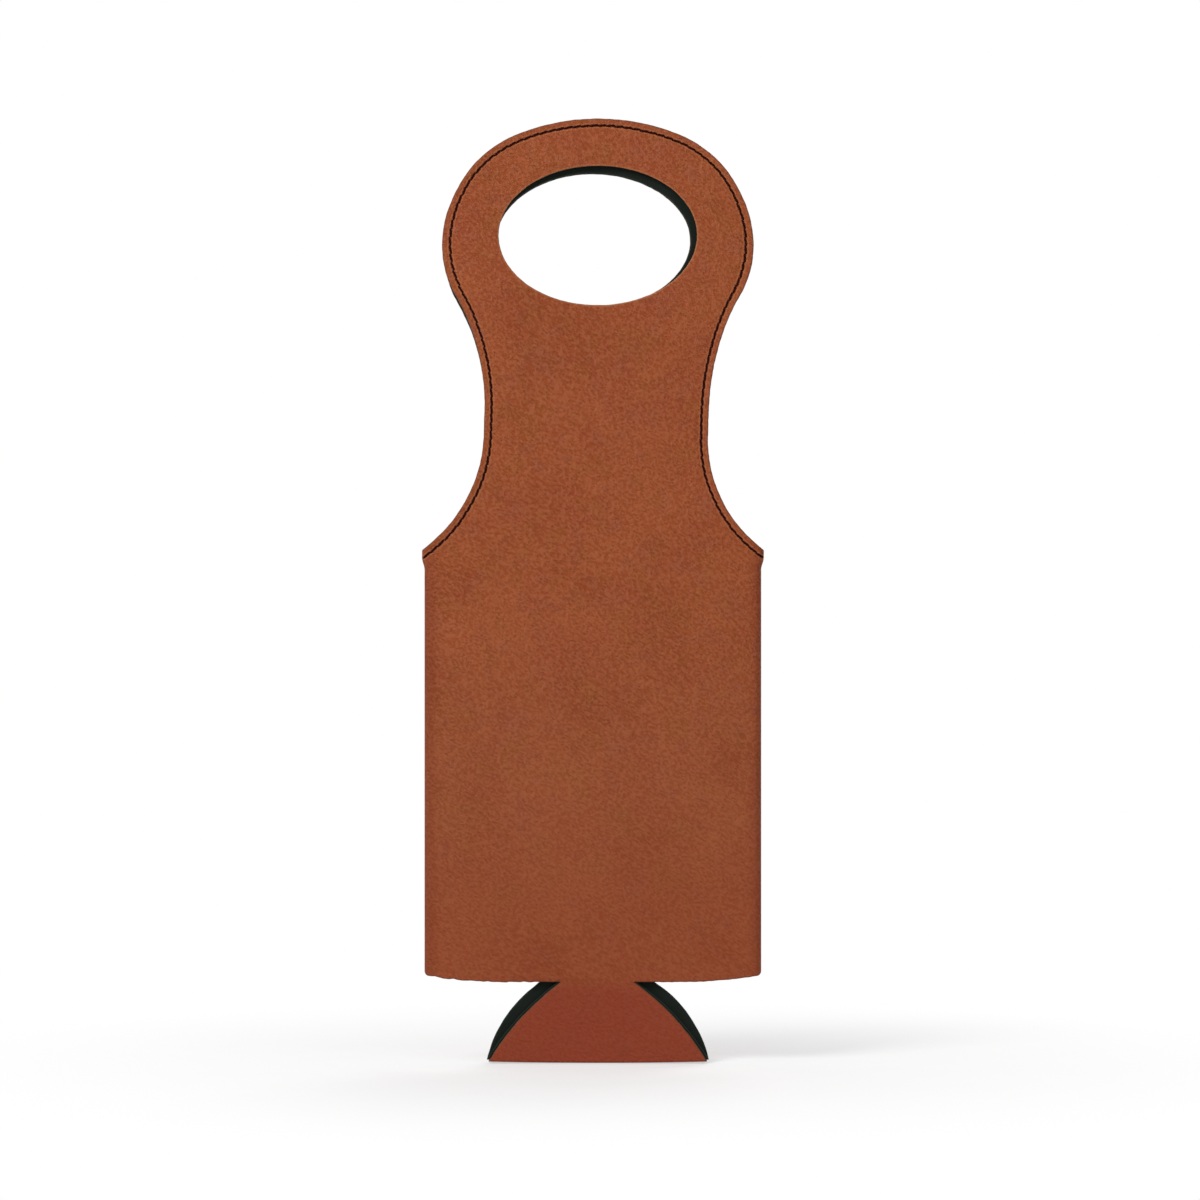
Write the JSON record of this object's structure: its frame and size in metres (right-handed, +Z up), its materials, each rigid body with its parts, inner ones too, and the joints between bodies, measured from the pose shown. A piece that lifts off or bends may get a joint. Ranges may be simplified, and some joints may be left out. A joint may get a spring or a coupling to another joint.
{
  "type": "bottle carrier",
  "caption": "Flat-folding tan leatherette bottle carrier on black foam, with an oval hand hole in its looped top, topstitched shoulders, a tube that opens and a base that unfolds.",
  "frame": {"origin": "the grip: the top of the hand hole's edge, midway between the front and the back", "axes": "+Z up along the carrier's height, +Y through its thickness from front to back, +X to the right as seen from the front"},
  "size_m": [0.1556, 0.0074, 0.4366],
  "materials": {
    "tan_leatherette": "satin",
    "black_foam": "matte",
    "topstitch_thread": "matte",
    "seam_thread": "matte"
  },
  "bodies": {
    "front_wall": {"front_wall_leather": "tan_leatherette", "front_wall_foam": "black_foam"},
    "front_left_side": {"front_left_leather": "tan_leatherette", "front_left_foam": "black_foam", "front_left_stitching": "topstitch_thread", "left_seam_thread": "seam_thread"},
    "front_right_side": {"front_right_leather": "tan_leatherette", "front_right_foam": "black_foam", "front_right_stitching": "topstitch_thread", "right_seam_thread": "seam_thread"},
    "front_base": {"front_base_leather": "tan_leatherette", "front_base_foam": "black_foam"},
    "front_handle": {"front_handle_leather": "tan_leatherette", "front_handle_foam": "black_foam", "front_handle_stitching": "topstitch_thread"},
    "back_wall": {"back_wall_leather": "tan_leatherette", "back_wall_foam": "black_foam"},
    "back_left_side": {"back_left_leather": "tan_leatherette", "back_left_foam": "black_foam", "back_left_stitching": "topstitch_thread"},
    "back_right_side": {"back_right_leather": "tan_leatherette", "back_right_foam": "black_foam", "back_right_stitching": "topstitch_thread"},
    "back_base": {"back_base_leather": "tan_leatherette", "back_base_foam": "black_foam"},
    "back_handle": {"back_handle_leather": "tan_leatherette", "back_handle_foam": "black_foam", "back_handle_stitching": "topstitch_thread"}
  },
  "joints": [
    {"name": "pocket_open", "type": "hinge", "parent": "front_wall", "child": "front_left_side", "pos_m": [-0.0405, -0.00015, -0.24], "axis": [0, 0, -1], "range_deg": [0, 90], "stiffness_Nm_per_rad": 0.04},
    {"name": "front_right_bend", "type": "hinge", "parent": "front_wall", "child": "front_right_side", "pos_m": [0.0405, -0.00015, -0.24], "axis": [0, 0, 1], "range_deg": [0, 90]},
    {"name": "left_seam_bend", "type": "hinge", "parent": "front_left_side", "child": "back_left_side", "pos_m": [-0.078, 0, -0.24], "axis": [0, 0, 1], "range_deg": [0, 180]},
    {"name": "back_left_bend", "type": "hinge", "parent": "back_left_side", "child": "back_wall", "pos_m": [-0.0405, 0.00015, -0.24], "axis": [0, 0, -1], "range_deg": [0, 90]},
    {"name": "back_right_bend", "type": "hinge", "parent": "back_wall", "child": "back_right_side", "pos_m": [0.0405, 0.00015, -0.24], "axis": [0, 0, -1], "range_deg": [0, 90]},
    {"name": "front_base_bend", "type": "hinge", "parent": "front_wall", "child": "front_base", "pos_m": [0, -0.00015, -0.37746], "axis": [1, 0, 0], "range_deg": [0, 90]},
    {"name": "back_base_bend", "type": "hinge", "parent": "back_wall", "child": "back_base", "pos_m": [0, 0.00015, -0.37746], "axis": [-1, 0, 0], "range_deg": [0, 90]},
    {"name": "front_handle_bend", "type": "hinge", "parent": "front_wall", "child": "front_handle", "pos_m": [0, -0.00335, -0.11931], "axis": [1, 0, 0], "range_deg": [0, 60], "stiffness_Nm_per_rad": 0.12},
    {"name": "back_handle_bend", "type": "hinge", "parent": "back_wall", "child": "back_handle", "pos_m": [0, 0.00335, -0.11931], "axis": [-1, 0, 0], "range_deg": [0, 60], "stiffness_Nm_per_rad": 0.12}
  ],
  "couplings": [
    {"joint": "front_right_bend", "follows": "pocket_open", "ratio": 1},
    {"joint": "left_seam_bend", "follows": "pocket_open", "ratio": 2},
    {"joint": "back_left_bend", "follows": "pocket_open", "ratio": 1},
    {"joint": "back_right_bend", "follows": "pocket_open", "ratio": 1},
    {"joint": "front_base_bend", "follows": "pocket_open", "ratio": 1},
    {"joint": "back_base_bend", "follows": "pocket_open", "ratio": 1}
  ]
}
